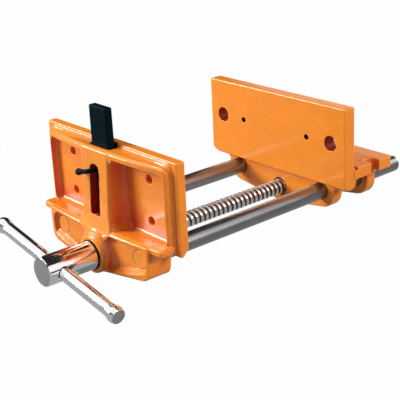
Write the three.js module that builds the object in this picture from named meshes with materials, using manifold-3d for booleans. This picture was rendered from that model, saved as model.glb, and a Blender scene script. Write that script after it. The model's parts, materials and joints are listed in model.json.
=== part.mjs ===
// Woodworking bench vise: a rear jaw that bolts under a bench top, a front jaw that slides on two
// guide rods, a lead screw with a tommy bar, and a sliding bench dog with its locking lever.
// Millimetres, +X along the jaws, +Y into the bench, +Z up. While modelling, z = 0 is the top of both
// jaws and y = 0 the rear clamping face; the last lines move the origin to the middle of the rear
// jaw's back face, the seat that bears on the edge of the bench.

import * as THREE from "three";
import { mergeVertices } from "three/addons/utils/BufferGeometryUtils.js";
import Module from "manifold-3d";

const wasm = await Module();
wasm.setup();

// ---------------------------------------------------------------- driving dimensions

// Fits
const SLIDE_GAP = 0.3; // radial clearance of a rod, shaft or pin in its bore
const SEAT_GAP = 0.3; // between two pieces that bear on each other
const THROUGH = 5; // how far a cutter runs past the face that it opens

// Jaws
const JAW_WIDTH = 254;
const FACE_HEIGHT = 104; // height of the machined clamping faces
const OPENING = 260.3; // between the clamping faces as set

// Rear jaw
const REAR_PLATE = 18.4;
const REAR_PLATE_LIP = 9.3; // how far the plate hangs below the flange
const REAR_FOOT_DROP = 4.2; // the foot of the plate swells below its front edge
const REAR_FOOT_MIDDLE = 11.5;
const REAR_FOOT_BACK = 20.8;
const REAR_FOOT_FILLET = 5;
const REAR_CORNER_X = 20; // the left lower corner is cut off, the right one is square
const REAR_CORNER_Z = 10.4;
const FLANGE_TOP = -81.8; // seat against the underside of the bench
const FLANGE_THICKNESS = 15.9;
const FLANGE_OVERHANG = 1.7; // each end stands out past the plate
const FLANGE_BACK = 91.5;
const FLANGE_CORNER = 4.5;
const RELIEF_WIDTH = 6.1; // groove that clears the bench's lower edge
const RELIEF_DEPTH = 4.2;
const BOLT_SLOT_WIDTH = 16;
const BOLT_SLOT_DEPTH = 16.7;
const BOLT_SLOT_Y = 58;
const APRON_FRONT = 8.5; // wall behind and below the plate that carries the rods and the nut
const APRON_THICKNESS = 17;
const BACK_WALL_THICKNESS = 16;
const ROD_LOBE = 23;
const LOBE_FILLET = 9; // where the apron's ends meet the foot of the plate
const SCREW_LOBE = 21.5;
const RIB_X = 44;
const RIB_THICKNESS = 8;
const RIB_DEPTH = 24;
const EDGE_BOLT_HOLE = 10; // radius of the two bolt holes into the bench's edge
const EDGE_BOLT_X = 102;
const PAD_SCREW_HOLE = 3.5;
const PAD_SCREW_X = 60;
const FACE_HOLE_Z = -49.3;

// Rods and screw
const ROD_RADIUS = 11.15;
const ROD_X = 77.5;
const ROD_Z = -121.8;
const ROD_BACK = 158; // rear end of the rods, in the rear jaw's frame
const ROD_CHAMFER = 2.5;
const SCREW_RADIUS = 10.5;
const SCREW_Z = -134.7;
const SCREW_BACK = 150;
const SCREW_BORE = 12.4;
const SPIGOT_RADIUS = 8.5; // plain end of the screw inside the hub
const ROD_PIN_RADIUS = 2.5;

// Lead nut
const NUT_RADIUS = 17;
const NUT_LENGTH = 36;
const NUT_FLANGE = 8;
const NUT_FLANGE_RADIUS = 20;
const NUT_SCREW_X = 23;
const NUT_SCREW_RADIUS = 3;
const NUT_SCREW_HEAD = 5.2;
const NUT_SCREW_LENGTH = 20;

// Front jaw, in its own frame: y = 0 is its clamping face and -y points to the operator
const FRONT_PLATE = 12.2;
const FRONT_PLATE_HEIGHT = 112.5;
const FACE_RELIEF = 8; // the plate falls back below the machined face
const RIM_X = 116.5;
const RIM_CORNER = 9;
const RIM_TOP = -4.6; // at the middle; the ends are lower
const RIM_DROP = 3;
const RIM_FRONT_MIDDLE = -32.7;
const RIM_FRONT_END = -19.7;
const RIM_WALL = 4;
const RIM_TOP_WALL = 8;
const SHELF_TOP = -100;
const SHELF_BOTTOM = -109;
const SHELF_X = 119;
const SHELF_FRONT_MIDDLE = -38.7;
const SHELF_FRONT_END = -34.3;
const WEB_HALF = 27;
const WEB_ROOT = 37.5; // half width where the web meets the plate
const WEB_CORNER = 4.5;
const LEDGE_X = 120; // ledge round the foot of the rim
const LEDGE_TOP = -3.4;
const LEDGE_FRONT = -14.6;
const LEDGE_EDGE = 1.8;
const RIM_CREST = 2; // how far the edge of the rim's crest is cut back
const POCKET_CORNER = 9;
const POCKET_FILLET = 6;
const BOWL_FRONT = -41.7;
const BOWL_BACK = -2;
const BOWL_FRONT_END = -38.3;
const BOWL_CORNER_X = 86.5;
const BOWL_CORNER_Z = -133.5;
const BOWL_CORNER = 11;
const BOWL_TOP_X = 100;
const GUSSET_X = 112; // fillet under each end of the shelf
const GUSSET_FRONT = -33;
const LOWER_POCKET_FLOOR = -34;
const LOWER_POCKET_IN = 20;
const LOWER_POCKET_OUT = 93.5;
const LOWER_POCKET_TOP = -105.5;
const LOWER_POCKET_BOTTOM_IN = -153;
const LOWER_POCKET_BOTTOM_OUT = -138;
const LOWER_POCKET_RAMP_X = 53; // the lower wall slopes up to the floor along a tilted line
const LOWER_POCKET_RAMP_Z = -139.2;
const LOWER_POCKET_RAMP_TILT = 13.5;
const BOSS_BASE_RADIUS = 27;
const BOSS_BASE_RISE = 3; // the wider base of the boss is centred above the screw
const BOSS_RADIUS = 24;
const BOSS_FRONT = -48.7;
const PAD_HOLE_X = 76.3;
const PAD_HOLE_HIGH = -30.3;
const PAD_HOLE_LOW = -81.5;
const PAD_HOLE_RADIUS = 3.2;
const PAD_HOLE_MOUTH = 5.6;

// Bench dog
const DOG_HALF_WIDTH = 16.8;
const DOG_FRONT = -23.7;
const DOG_THICKNESS = 10.5;
const DOG_TOP = 43.3; // as set, above the jaws
const DOG_BOTTOM = -62;
const DOG_WELL_BACK = -8.6;
const DOG_WELL_BOTTOM = -110;
const DOG_MOUTH_HALF_WIDTH = 20.3;
const DOG_MOUTH_DEPTH = 30;
const DOG_CORNER = 2.2;
const LEVER_SLOT_HALF = 9;
const LEVER_SLOT_TOP = -24.3;
const LEVER_SLOT_BOTTOM = -87;

// Locking lever of the dog
const LEVER_Z = -31;
const LEVER_ARM_Y = -42.4;
const LEVER_STUD = 3.3;
const LEVER_ARM = 2.9;
const LEVER_KNOB = 4.3;
const LEVER_REACH = 25;
const LEVER_BEND = 5;
const LEVER_TILT = 14; // degrees below the horizontal, as set
const LEVER_SOCKET = 7; // how deep the stud sits in the dog

// Hub and tommy bar
const HUB_RADIUS = 18;
const HUB_FRONT = -117.8;
const HUB_CHAMFER = 1;
const HUB_CROSS_GAP = 0.8; // between the bar and its hole in the hub
const HUB_SOCKET = 30;
const HUB_PIN_Y = -68;
const HUB_PIN_RADIUS = 3;
const WASHER_RADIUS = 19.2;
const WASHER_THICKNESS = 1;
const BAR_Y = -97.8;
const BAR_RADIUS = 8.2;
const BAR_HALF_LENGTH = 121.4;
const BAR_TILT = -10.1; // degrees, as set
const CAP_RADIUS = 10.2;
const CAP_LENGTH = 17;
const CAP_SPIGOT = 5;
const CAP_SOCKET = 12;
const COLLAR_RADIUS = 16;
const COLLAR_LENGTH = 7.5;
const COLLAR_PIN_RADIUS = 2;

// Dog spring
const SPRING_HALF_WIDTH = 6;
const SPRING_THICKNESS = 0.8;
const SPRING_TOP = -36;
const SPRING_LENGTH = 24;
const RIVET_RADIUS = 2.2;
const RIVET_HEAD = 3.6;

// Facets
const ROUND = 36; // sides of a shaft or bore
const SMALL_ROUND = 16; // sides of a pin, screw or small hole

// ---------------------------------------------------------------- solids

function solid(geometry) {
  geometry.deleteAttribute("normal");
  geometry.deleteAttribute("uv");
  const merged = mergeVertices(geometry, 1e-4);
  const place = merged.getAttribute("position");
  const corners = [];
  for (let i = 0; i < merged.index.count; i += 3) {
    const [a, b, c] = [0, 1, 2].map((k) => merged.index.getX(i + k));
    if (a !== b && b !== c && c !== a) corners.push([a, b, c]);
  }
  const [p, q, r] = [new THREE.Vector3(), new THREE.Vector3(), new THREE.Vector3()];
  let volume = 0;
  for (const [a, b, c] of corners) {
    p.fromBufferAttribute(place, a);
    q.fromBufferAttribute(place, b);
    r.fromBufferAttribute(place, c);
    volume += p.dot(q.cross(r));
  }
  const turned = volume < 0 ? corners.map(([a, b, c]) => [a, c, b]) : corners;
  return new wasm.Manifold(
    new wasm.Mesh({
      numProp: 3,
      vertProperties: new Float32Array(place.array),
      triVerts: new Uint32Array(turned.flat()),
    }),
  );
}

const join = (first, ...others) => others.reduce((whole, piece) => whole.add(piece), first);
const cut = (body, ...tools) => tools.reduce((rest, tool) => rest.subtract(tool), body);

function extruded(shape, length, edge, curveSegments) {
  const geometry = new THREE.ExtrudeGeometry(shape, {
    depth: length - 2 * edge,
    bevelEnabled: edge > 0,
    bevelThickness: edge,
    bevelSize: edge,
    bevelOffset: -edge,
    bevelSegments: edge > 3 ? 4 : 1,
    curveSegments,
  });
  return geometry.translate(0, 0, edge);
}

// Prisms: the shape is drawn in the two other axes, in the order x, y, z
const alongX = (shape, x0, x1, edge = 0, arcs = 3) =>
  solid(extruded(shape, x1 - x0, edge, arcs).rotateX(Math.PI / 2).rotateZ(Math.PI / 2).translate(x0, 0, 0));
const alongY = (shape, y0, y1, edge = 0, arcs = 3) =>
  solid(extruded(shape, y1 - y0, edge, arcs).rotateX(Math.PI / 2).translate(0, y1, 0));
const alongZ = (shape, z0, z1, edge = 0, arcs = 3) =>
  solid(extruded(shape, z1 - z0, edge, arcs).translate(0, 0, z0));

function block(x0, x1, y0, y1, z0, z1) {
  const geometry = new THREE.BoxGeometry(x1 - x0, y1 - y0, z1 - z0);
  return solid(geometry.translate((x0 + x1) / 2, (y0 + y1) / 2, (z0 + z1) / 2));
}

// A turned piece about the Y axis; the profile is a list of [radius, y]
function turned(profile, sides = ROUND) {
  return solid(new THREE.LatheGeometry(profile.map(([r, y]) => new THREE.Vector2(r, y)), sides));
}

const shaft = (radius, y0, y1, sides = ROUND) => turned([[0, y0], [radius, y0], [radius, y1], [0, y1]], sides);

function chamferedShaft(radius, y0, y1, chamfer0, chamfer1, sides = ROUND) {
  return turned(
    [
      [0, y0],
      [radius - chamfer0, y0],
      [radius, y0 + chamfer0],
      [radius, y1 - chamfer1],
      [radius - chamfer1, y1],
      [0, y1],
    ],
    sides,
  );
}

function sleeve(bore, radius, y0, y1, sides = ROUND) {
  return turned([[bore, y0], [radius, y0], [radius, y1], [bore, y1], [bore, y0]], sides);
}

// A pin along Z, from z0 to z1
function pin(radius, z0, z1, sides = SMALL_ROUND) {
  const geometry = new THREE.CylinderGeometry(radius, radius, z1 - z0, sides);
  return solid(geometry.rotateX(Math.PI / 2).translate(0, 0, (z0 + z1) / 2));
}

// ---------------------------------------------------------------- outlines

// A closed outline through [u, v, corner radius]
function outline(points) {
  const shape = new THREE.Shape();
  const at = (i) => new THREE.Vector2(...points[(i + points.length) % points.length].slice(0, 2));
  points.forEach(([u, v, radius = 0], i) => {
    if (radius > 0) {
      const before = at(i - 1).sub(at(i)).normalize();
      const after = at(i + 1).sub(at(i)).normalize();
      const half = Math.acos(before.dot(after)) / 2;
      const middle = before.clone().add(after).setLength(radius / Math.sin(half));
      const reach = radius / Math.tan(half);
      const [start, end] = [before, after].map((edge) => edge.clone().multiplyScalar(reach));
      if (i > 0) shape.lineTo(u + start.x, v + start.y);
      const [from, to] = [start, end].map((point) => point.sub(middle).angle());
      shape.absarc(u + middle.x, v + middle.y, radius, from, to, before.cross(after) > 0);
    } else if (i === 0) {
      shape.moveTo(u, v);
    } else {
      shape.lineTo(u, v);
    }
  });
  shape.closePath();
  return shape;
}

// A belt round circles [u, v, radius], listed anticlockwise
function belt(circles) {
  const shape = new THREE.Shape();
  const whole = 2 * Math.PI;
  const tangents = circles.map(([u0, v0, r0], i) => {
    const [u1, v1, r1] = circles[(i + 1) % circles.length];
    return Math.atan2(v1 - v0, u1 - u0) - Math.acos((r0 - r1) / Math.hypot(u1 - u0, v1 - v0));
  });
  circles.forEach(([u, v, radius], i) => {
    const from = tangents[(i + circles.length - 1) % circles.length];
    const sweep = (((tangents[i] - from) % whole) + whole) % whole;
    shape.absarc(u, v, radius, from, from + sweep, false);
  });
  shape.closePath();
  return shape;
}

const rectangle = (u0, u1, v0, v1, corner = 0) =>
  outline([[u0, v0, corner], [u1, v0, corner], [u1, v1, corner], [u0, v1, corner]]);

// An outline whose far side is bowed: straight across at `base`, with its middle at `middle` and its
// ends at `end`, half as wide as `half`
function bowed(half, base, middle, end, corner) {
  const shape = new THREE.Shape();
  const steps = 12;
  const bow = (u) => middle + (end - middle) * (u / half) ** 2;
  const inside = half - corner;
  const turn = Math.sign(base - middle);
  shape.moveTo(half, base);
  shape.lineTo(half, bow(half) + turn * corner);
  shape.quadraticCurveTo(half, bow(half), inside, bow(inside));
  for (let i = 1; i <= steps; i++) {
    const u = inside * (1 - (2 * i) / steps);
    shape.lineTo(u, bow(u));
  }
  shape.quadraticCurveTo(-half, bow(half), -half, bow(half) + turn * corner);
  shape.lineTo(-half, base);
  shape.closePath();
  return shape;
}

const mirrored = (side, points) => points.map(([u, v, radius]) => [side * u, v, radius]);

// ---------------------------------------------------------------- rear jaw

const APRON_BACK = APRON_FRONT + APRON_THICKNESS;
const WALL_FRONT = FLANGE_BACK - BACK_WALL_THICKNESS;
const FLANGE_BOTTOM = FLANGE_TOP - FLANGE_THICKNESS;
const REAR_PLATE_BOTTOM = FLANGE_BOTTOM - REAR_PLATE_LIP;
const HALF_WIDTH = JAW_WIDTH / 2;

// Outline of the two walls that hang under the flange, round both rods and the screw
function wallOutline() {
  const top = FLANGE_TOP - FLANGE_THICKNESS / 2;
  return belt([
    [-ROD_X, ROD_Z, ROD_LOBE],
    [0, SCREW_Z, SCREW_LOBE],
    [ROD_X, ROD_Z, ROD_LOBE],
    [ROD_X + ROD_LOBE - 3, top, 3],
    [-ROD_X - ROD_LOBE + 3, top, 3],
  ]);
}

// Small fillet between one end of the apron and the foot of the plate
function lobeFillet(side) {
  const end = ROD_X + ROD_LOBE;
  const low = REAR_PLATE_BOTTOM - REAR_FOOT_DROP;
  const corner = outline(
    mirrored(side, [
      [end - 3, ROD_Z],
      [end, ROD_Z],
      [end + 1, low - 2.5, 4],
      [end + LOBE_FILLET, low + 0.5],
      [end + LOBE_FILLET, low + 5],
      [end - 3, low + 5],
    ]),
  );
  return alongY(corner, APRON_FRONT + 1, REAR_PLATE);
}

// The clamping plate with its swelling foot
function rearPlate() {
  const low = REAR_PLATE_BOTTOM - REAR_FOOT_DROP;
  const section = outline([
    [0, 0, 1],
    [0, REAR_PLATE_BOTTOM, 1.5],
    [REAR_FOOT_MIDDLE, low - 0.5, 9],
    [REAR_FOOT_BACK, REAR_PLATE_BOTTOM - 1, 5],
    [REAR_FOOT_BACK + 3, FLANGE_BOTTOM, REAR_FOOT_FILLET],
    [REAR_FOOT_BACK + 4 * REAR_FOOT_FILLET, FLANGE_BOTTOM],
    [REAR_FOOT_BACK + 4 * REAR_FOOT_FILLET, FLANGE_BOTTOM + 3],
    [REAR_PLATE, FLANGE_BOTTOM + 3],
    [REAR_PLATE, 0, 1],
  ]);
  const face = outline([
    [-HALF_WIDTH, low - 1 + REAR_CORNER_Z, 4],
    [-HALF_WIDTH + REAR_CORNER_X, low - 1, 8],
    [HALF_WIDTH, low - 1],
    [HALF_WIDTH, 0, 1.5],
    [-HALF_WIDTH, 0, 1.5],
  ]);
  const whole = alongX(section, -HALF_WIDTH, HALF_WIDTH, 0.8);
  return whole.intersect(alongY(face, -THROUGH, REAR_FOOT_BACK + 5 * REAR_FOOT_FILLET));
}

function flange() {
  const half = HALF_WIDTH + FLANGE_OVERHANG;
  const plan = outline([
    [-half, REAR_PLATE - 1],
    [half, REAR_PLATE - 1],
    [half, FLANGE_BACK, FLANGE_CORNER],
    [-half, FLANGE_BACK, FLANGE_CORNER],
  ]);
  const slab = alongZ(plan, FLANGE_BOTTOM, FLANGE_TOP, 1);
  const slotHalf = BOLT_SLOT_WIDTH / 2;
  const slots = [-1, 1].map((side) => {
    const end = half - BOLT_SLOT_DEPTH;
    const opening = outline(
      mirrored(side, [
        [end, BOLT_SLOT_Y - slotHalf, slotHalf - 0.1],
        [half + THROUGH, BOLT_SLOT_Y - slotHalf],
        [half + THROUGH, BOLT_SLOT_Y + slotHalf],
        [end, BOLT_SLOT_Y + slotHalf, slotHalf - 0.1],
      ]),
    );
    return alongZ(opening, FLANGE_BOTTOM - THROUGH, FLANGE_TOP + THROUGH, 0, 6);
  });
  return cut(slab, ...slots);
}

function rearJaw() {
  const apron = alongY(wallOutline(), APRON_FRONT, APRON_BACK, 1, 6);
  const wall = alongY(wallOutline(), WALL_FRONT, FLANGE_BACK, 1, 6);
  const ribs = [-1, 1].map((side) =>
    block(
      side * RIB_X - RIB_THICKNESS / 2,
      side * RIB_X + RIB_THICKNESS / 2,
      APRON_BACK - 1,
      WALL_FRONT + 1,
      FLANGE_BOTTOM - RIB_DEPTH,
      FLANGE_BOTTOM + 1,
    ),
  );
  const reliefY = REAR_PLATE + RELIEF_WIDTH;
  const relief = alongX(
    outline([
      [REAR_PLATE, FLANGE_TOP + THROUGH],
      [REAR_PLATE, FLANGE_TOP - RELIEF_DEPTH, RELIEF_WIDTH / 2.5],
      [reliefY, FLANGE_TOP - RELIEF_DEPTH, RELIEF_WIDTH / 2.5],
      [reliefY, FLANGE_TOP + THROUGH],
    ]),
    -HALF_WIDTH - 2 * THROUGH,
    HALF_WIDTH + 2 * THROUGH,
  );
  const bores = [-1, 1].map((side) =>
    shaft(ROD_RADIUS + SLIDE_GAP, 0, FLANGE_BACK + THROUGH).translate([side * ROD_X, 0, ROD_Z]),
  );
  const screwBore = shaft(SCREW_BORE, 0, FLANGE_BACK + THROUGH).translate([0, 0, SCREW_Z]);
  const faceHoles = [
    [-EDGE_BOLT_X, EDGE_BOLT_HOLE],
    [-PAD_SCREW_X, PAD_SCREW_HOLE],
    [PAD_SCREW_X, PAD_SCREW_HOLE],
    [EDGE_BOLT_X, EDGE_BOLT_HOLE],
  ].map(([x, radius]) => shaft(radius, -THROUGH, REAR_PLATE + THROUGH, 28).translate([x, 0, FACE_HOLE_Z]));
  const nutScrewHoles = [-1, 1].map((side) => {
    const depth = [NUT_SCREW_TIP - SEAT_GAP, APRON_BACK + THROUGH];
    const hole = shaft(NUT_SCREW_RADIUS + SLIDE_GAP, ...depth, SMALL_ROUND);
    return hole.translate([side * NUT_SCREW_X, 0, SCREW_Z]);
  });
  return cut(
    join(rearPlate(), flange(), lobeFillet(-1), lobeFillet(1), apron, wall, ...ribs),
    relief,
    ...bores,
    screwBore,
    ...faceHoles,
    ...nutScrewHoles,
  );
}

// ---------------------------------------------------------------- lead nut, behind the apron

const NUT_SEAT = APRON_BACK + SEAT_GAP;
const NUT_SCREW_SEAT = NUT_SEAT + NUT_FLANGE + SEAT_GAP;
const NUT_SCREW_TIP = NUT_SCREW_SEAT - NUT_SCREW_LENGTH;

function leadNut() {
  const ear = NUT_SCREW_HEAD + 2.5;
  const foot = belt([
    [-NUT_SCREW_X, 0, ear],
    [0, 0, NUT_FLANGE_RADIUS],
    [NUT_SCREW_X, 0, ear],
    [0, 0, NUT_FLANGE_RADIUS],
  ]);
  const holes = [-1, 1].map((side) =>
    shaft(NUT_SCREW_RADIUS + SLIDE_GAP, -THROUGH, NUT_FLANGE + THROUGH, SMALL_ROUND).translate([
      side * NUT_SCREW_X,
      0,
      0,
    ]),
  );
  return cut(
    join(alongY(foot, 0, NUT_FLANGE, 0.8, 4), chamferedShaft(NUT_RADIUS, 1, NUT_LENGTH, 0, 1.5)),
    shaft(SCREW_RADIUS + SLIDE_GAP, -THROUGH, NUT_LENGTH + THROUGH),
    ...holes,
  );
}

function nutScrew() {
  const head = chamferedShaft(NUT_SCREW_HEAD, 0, 6, 0, 0.6, SMALL_ROUND);
  const shank = shaft(NUT_SCREW_RADIUS, -NUT_SCREW_LENGTH, 1, SMALL_ROUND);
  const hexagon = shaft(2.9, 3, 6 + THROUGH, 6);
  return cut(join(head, shank), hexagon);
}

// ---------------------------------------------------------------- front jaw

function frontPlate() {
  const low = -FRONT_PLATE_HEIGHT;
  const section = outline([
    [0, -FACE_HEIGHT, 1.2],
    [0, 0, 1.2],
    [-FRONT_PLATE, 0, 1.2],
    [-FRONT_PLATE, low, 1.2],
    [-FACE_RELIEF, low, 1.2],
  ]);
  return alongX(section, -HALF_WIDTH, HALF_WIDTH, 0.8, 2);
}

// The bowed frame round the upper pockets, with the shelf under them
function frontRim() {
  const plan = bowed(RIM_X, -1, RIM_FRONT_MIDDLE, RIM_FRONT_END, 3);
  const front = bowed(RIM_X, SHELF_BOTTOM, RIM_TOP, RIM_TOP - RIM_DROP, RIM_CORNER);
  const slab = alongZ(plan, SHELF_BOTTOM, 0).intersect(alongY(front, RIM_FRONT_MIDDLE - THROUGH, 0));
  const crestMiddle = (RIM_TOP - RIM_FRONT_MIDDLE) / Math.SQRT2 - RIM_CREST;
  const crestEnd = (RIM_TOP - RIM_DROP - RIM_FRONT_END) / Math.SQRT2 - RIM_CREST;
  const crest = alongZ(bowed(RIM_X + 1, -JAW_WIDTH, crestMiddle, crestEnd, 1), -JAW_WIDTH, JAW_WIDTH);
  const shelfPlan = bowed(SHELF_X, -3, SHELF_FRONT_MIDDLE, SHELF_FRONT_END, 3.5);
  const ledge = rectangle(-LEDGE_X, LEDGE_X, SHELF_BOTTOM, LEDGE_TOP, RIM_CORNER);
  return join(
    slab.intersect(crest.rotate([135, 0, 0])),
    alongY(ledge, LEDGE_FRONT, -1, LEDGE_EDGE),
    alongZ(shelfPlan, SHELF_BOTTOM, SHELF_TOP, 2),
  );
}

// The stout middle web that holds the dog, leaning forward to meet the shelf
function web() {
  const section = outline([
    [-1, SHELF_BOTTOM],
    [-1, RIM_TOP - 1],
    [RIM_FRONT_MIDDLE, RIM_TOP - 1, 3],
    [SHELF_FRONT_MIDDLE, SHELF_BOTTOM],
  ]);
  const wall = [
    [WEB_HALF, SHELF_FRONT_MIDDLE, WEB_CORNER],
    [WEB_HALF + 3.5, -22],
    [WEB_HALF + 6.5, -15.5],
    [WEB_ROOT, 1.5 - FRONT_PLATE],
  ];
  const plan = outline([...wall, ...mirrored(-1, wall).reverse()]);
  const lean = (RIM_FRONT_MIDDLE - SHELF_FRONT_MIDDLE) / (RIM_TOP - 1 - SHELF_BOTTOM);
  const shear = [1, 0, 0, 0, 0, 1, 0, 0, 0, lean, 1, 0, 0, 0, 0, 1];
  const post = alongZ(plan, 0, -SHELF_BOTTOM).transform(shear).translate([0, 0, SHELF_BOTTOM]);
  return alongX(section, -HALF_WIDTH, HALF_WIDTH).intersect(post);
}

function upperPocket(side) {
  const floor = -FRONT_PLATE;
  const top = RIM_TOP - RIM_TOP_WALL;
  const out = RIM_X - RIM_WALL;
  const face = outline(
    mirrored(side, [
      [WEB_HALF - 2, SHELF_TOP, POCKET_CORNER],
      [out, SHELF_TOP, POCKET_CORNER],
      [out, top - RIM_DROP, POCKET_CORNER],
      [WEB_HALF - 2, top, POCKET_CORNER],
    ]),
  );
  return alongY(face, SHELF_FRONT_MIDDLE - 4 * THROUGH, floor, POCKET_FILLET);
}

// The lower body that holds the rods and the screw
function bowl() {
  const front = belt([
    [-BOWL_CORNER_X, BOWL_CORNER_Z, BOWL_CORNER],
    [0, SCREW_Z, BOSS_RADIUS],
    [BOWL_CORNER_X, BOWL_CORNER_Z, BOWL_CORNER],
    [BOWL_TOP_X - 4, SHELF_TOP - 5, 4],
    [-BOWL_TOP_X + 4, SHELF_TOP - 5, 4],
  ]);
  const plan = bowed(BOWL_TOP_X, 0, BOWL_FRONT, BOWL_FRONT_END, 3);
  const body = alongY(front, BOWL_FRONT, BOWL_BACK, 3, 5).intersect(alongZ(plan, -JAW_WIDTH, 0));
  const boss = turned([
    [0, BOWL_BACK - 1],
    [BOSS_RADIUS, BOWL_BACK - 1],
    [BOSS_RADIUS, BOSS_FRONT + 2],
    [BOSS_RADIUS - 0.6, BOSS_FRONT + 0.6],
    [BOSS_RADIUS - 2, BOSS_FRONT],
    [0, BOSS_FRONT],
  ]);
  const base = turned([
    [0, LOWER_POCKET_FLOOR],
    [BOSS_BASE_RADIUS, LOWER_POCKET_FLOOR],
    [BOSS_BASE_RADIUS, BOWL_FRONT],
    [BOSS_RADIUS, BOSS_FRONT + 3],
    [0, BOSS_FRONT + 3],
  ]);
  return join(
    body,
    boss.translate([0, 0, SCREW_Z]),
    base.translate([0, 0, SCREW_Z + BOSS_BASE_RISE]),
    shelfGusset(-1),
    shelfGusset(1),
  );
}

// Fillet under one end of the shelf, down to the side of the lower body
function shelfGusset(side) {
  const face = outline(
    mirrored(side, [
      [BOWL_TOP_X - 6, BOWL_CORNER_Z],
      [BOWL_TOP_X - 2.4, BOWL_CORNER_Z + 9],
      [BOWL_TOP_X + 1, SHELF_BOTTOM - 5, 9],
      [GUSSET_X, SHELF_BOTTOM + 2],
      [GUSSET_X, SHELF_TOP - 3],
      [BOWL_TOP_X - 6, SHELF_TOP - 3],
    ]),
  );
  return alongY(face, GUSSET_FRONT, -3);
}

function lowerPocket(side) {
  const floor = LOWER_POCKET_FLOOR;
  const face = outline(
    mirrored(side, [
      [LOWER_POCKET_IN, LOWER_POCKET_TOP, 8],
      [LOWER_POCKET_OUT, LOWER_POCKET_TOP, 12],
      [LOWER_POCKET_OUT - 2, LOWER_POCKET_BOTTOM_OUT, 10],
      [LOWER_POCKET_IN, LOWER_POCKET_BOTTOM_IN, 5],
    ]),
  );
  const ramp = outline([
    [floor + THROUGH, THROUGH],
    [floor + THROUGH, -4 * THROUGH],
    [floor - 4 * THROUGH, -4 * THROUGH],
  ]);
  const wall = alongX(ramp, -LOWER_POCKET_OUT / 2, LOWER_POCKET_OUT / 2)
    .rotate([0, -side * LOWER_POCKET_RAMP_TILT, 0])
    .translate([side * LOWER_POCKET_RAMP_X, 0, LOWER_POCKET_RAMP_Z]);
  const boss = turned([
    [0, BOWL_BACK],
    [BOSS_BASE_RADIUS + 8, BOWL_BACK],
    [BOSS_BASE_RADIUS + 8, floor],
    [BOSS_BASE_RADIUS + 4, floor - 1.5],
    [BOSS_BASE_RADIUS + 1, floor - 4],
    [BOSS_BASE_RADIUS, BOWL_FRONT],
    [BOSS_RADIUS, BOSS_FRONT + 3],
    [BOSS_RADIUS, BOSS_FRONT - 4 * THROUGH],
    [0, BOSS_FRONT - 4 * THROUGH],
  ]).translate([0, 0, SCREW_Z + BOSS_BASE_RISE]);
  return cut(alongY(face, BOSS_FRONT - 2 * THROUGH, floor, 3.2), wall, boss);
}

// Cored screw holes for a wooden jaw lining, opening wider towards the operator
function padHole(x, z) {
  return turned(
    [
      [0, -FRONT_PLATE - 1],
      [PAD_HOLE_MOUTH + 0.4, -FRONT_PLATE - 1],
      [PAD_HOLE_RADIUS, -3],
      [PAD_HOLE_RADIUS, THROUGH],
      [0, THROUGH],
    ],
    SMALL_ROUND,
  ).translate([x, 0, z]);
}

function dogWell() {
  const dogBack = DOG_WELL_BACK;
  const guide = alongZ(
    rectangle(
      -DOG_HALF_WIDTH - SLIDE_GAP,
      DOG_HALF_WIDTH + SLIDE_GAP,
      DOG_FRONT - SLIDE_GAP,
      dogBack,
      DOG_CORNER,
    ),
    DOG_WELL_BOTTOM,
    THROUGH,
  );
  const mouth = alongZ(
    rectangle(-DOG_MOUTH_HALF_WIDTH, DOG_MOUTH_HALF_WIDTH, DOG_FRONT - 1, dogBack, 5),
    -DOG_MOUTH_DEPTH,
    THROUGH,
  );
  return join(guide, mouth);
}

function leverSlot() {
  const face = outline([
    [-LEVER_SLOT_HALF, LEVER_SLOT_BOTTOM, 2.5],
    [LEVER_SLOT_HALF, LEVER_SLOT_BOTTOM, 2.5],
    [LEVER_SLOT_HALF, LEVER_SLOT_TOP, LEVER_SLOT_HALF - 0.5],
    [-LEVER_SLOT_HALF, LEVER_SLOT_TOP, LEVER_SLOT_HALF - 0.5],
  ]);
  return alongY(face, SHELF_FRONT_MIDDLE - THROUGH, DOG_FRONT + 1);
}

const ROD_PIN_Y = (BOWL_BACK + LOWER_POCKET_FLOOR) / 2;
const ROD_PIN_TOP = ROD_Z + ROD_RADIUS + 4;
const ROD_PIN_BOTTOM = ROD_Z - ROD_RADIUS - 4;

function frontJaw() {
  const rodBores = [-1, 1].map((side) =>
    shaft(ROD_RADIUS + SLIDE_GAP, LOWER_POCKET_FLOOR - THROUGH, THROUGH).translate([side * ROD_X, 0, ROD_Z]),
  );
  const pinHoles = [-1, 1].map((side) => {
    const hole = pin(ROD_PIN_RADIUS + SLIDE_GAP, ROD_Z - 2 * ROD_LOBE, ROD_PIN_TOP + SEAT_GAP);
    return hole.translate([side * ROD_X, ROD_PIN_Y, 0]);
  });
  const padHoles = [-1, 1].flatMap((side) =>
    [PAD_HOLE_HIGH, PAD_HOLE_LOW].map((z) => padHole(side * PAD_HOLE_X, z)),
  );
  const screwBore = shaft(SCREW_RADIUS + SLIDE_GAP, BOSS_FRONT - THROUGH, THROUGH).translate([0, 0, SCREW_Z]);
  const shell = cut(join(frontPlate(), frontRim()), upperPocket(-1), upperPocket(1));
  return cut(
    join(shell, web(), bowl()),
    lowerPocket(-1),
    lowerPocket(1),
    dogWell(),
    leverSlot(),
    ...padHoles,
    ...rodBores,
    ...pinHoles,
    screwBore,
  );
}

// ---------------------------------------------------------------- rods, in the carriage's frame

function guideRod() {
  const back = ROD_BACK + OPENING;
  const body = chamferedShaft(ROD_RADIUS, LOWER_POCKET_FLOOR, back, 0.5, ROD_CHAMFER);
  const hole = pin(ROD_PIN_RADIUS + SLIDE_GAP, -2 * ROD_RADIUS, 2 * ROD_RADIUS).translate([0, ROD_PIN_Y, 0]);
  return cut(body, hole);
}

const rodPin = () => pin(ROD_PIN_RADIUS, ROD_PIN_BOTTOM - ROD_Z, ROD_PIN_TOP - ROD_Z);

// ---------------------------------------------------------------- screw and hub, on the screw's axis

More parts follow.
